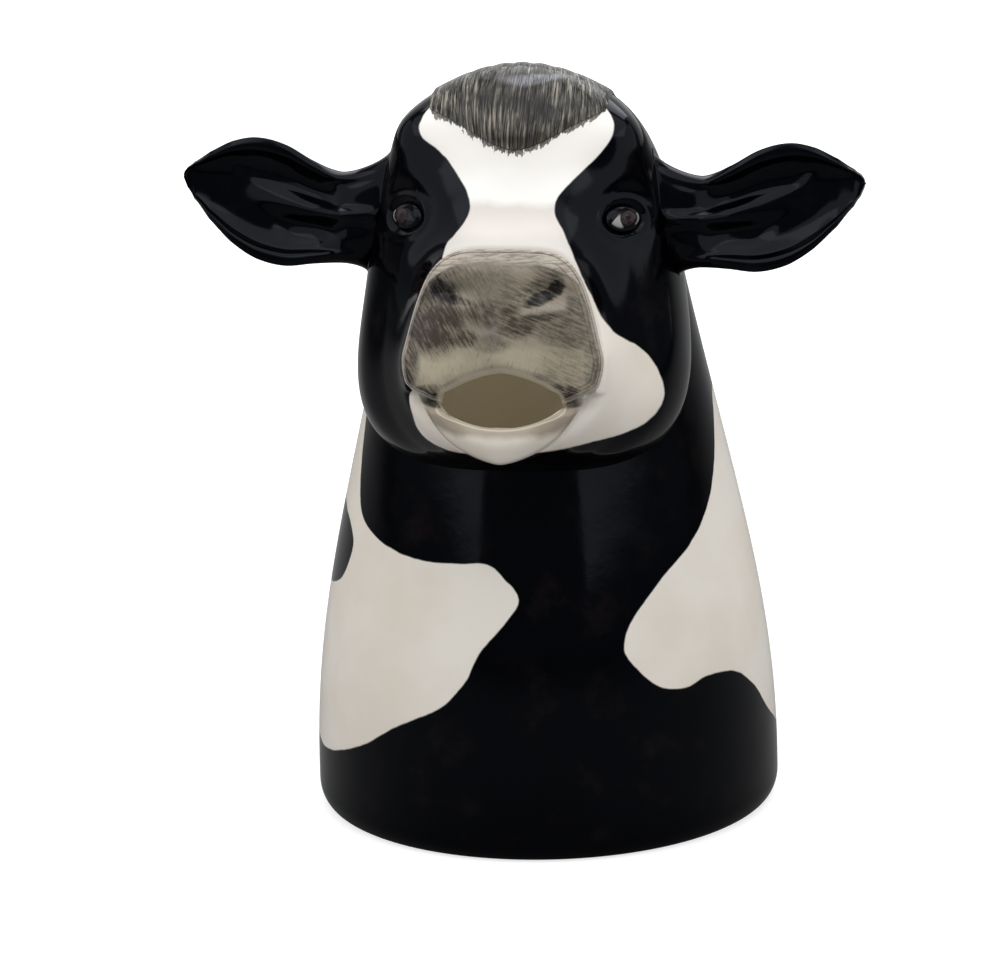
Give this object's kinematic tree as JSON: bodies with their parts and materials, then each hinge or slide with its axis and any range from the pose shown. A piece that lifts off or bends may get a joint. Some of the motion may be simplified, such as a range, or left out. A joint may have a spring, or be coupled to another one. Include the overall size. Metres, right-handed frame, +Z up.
{
  "type": "cow creamer",
  "caption": "Glazed ceramic cream jug shaped as a cow's head on a tapered round neck, with an open mouth as spout and a loop handle behind",
  "frame": {"origin": "centre of the foot, on the surface the jug stands on", "axes": "+Z up, the cow faces -Y, +X is to the right of a viewer in front of it"},
  "size_m": [0.109, 0.109, 0.1248],
  "materials": {
    "coat_glaze": "gloss black glaze with warm white patches",
    "face_glaze": "gloss black glaze with a white blaze",
    "muzzle_glaze": "brushed grey-brown under gloss",
    "white_glaze": "warm white gloss glaze",
    "black_glaze": "gloss black glaze",
    "forelock_glaze": "brushed grey and black under gloss",
    "eye_glaze": "gloss dark brown glaze"
  },
  "bodies": {
    "root": {"neck_vessel": "coat_glaze", "head_shell": "face_glaze", "muzzle": "muzzle_glaze", "lower_jaw": "white_glaze", "left_ear": "black_glaze", "right_ear": "black_glaze", "forelock": "forelock_glaze", "left_eye": "eye_glaze", "right_eye": "eye_glaze", "handle": "black_glaze"}
  },
  "joints": []
}
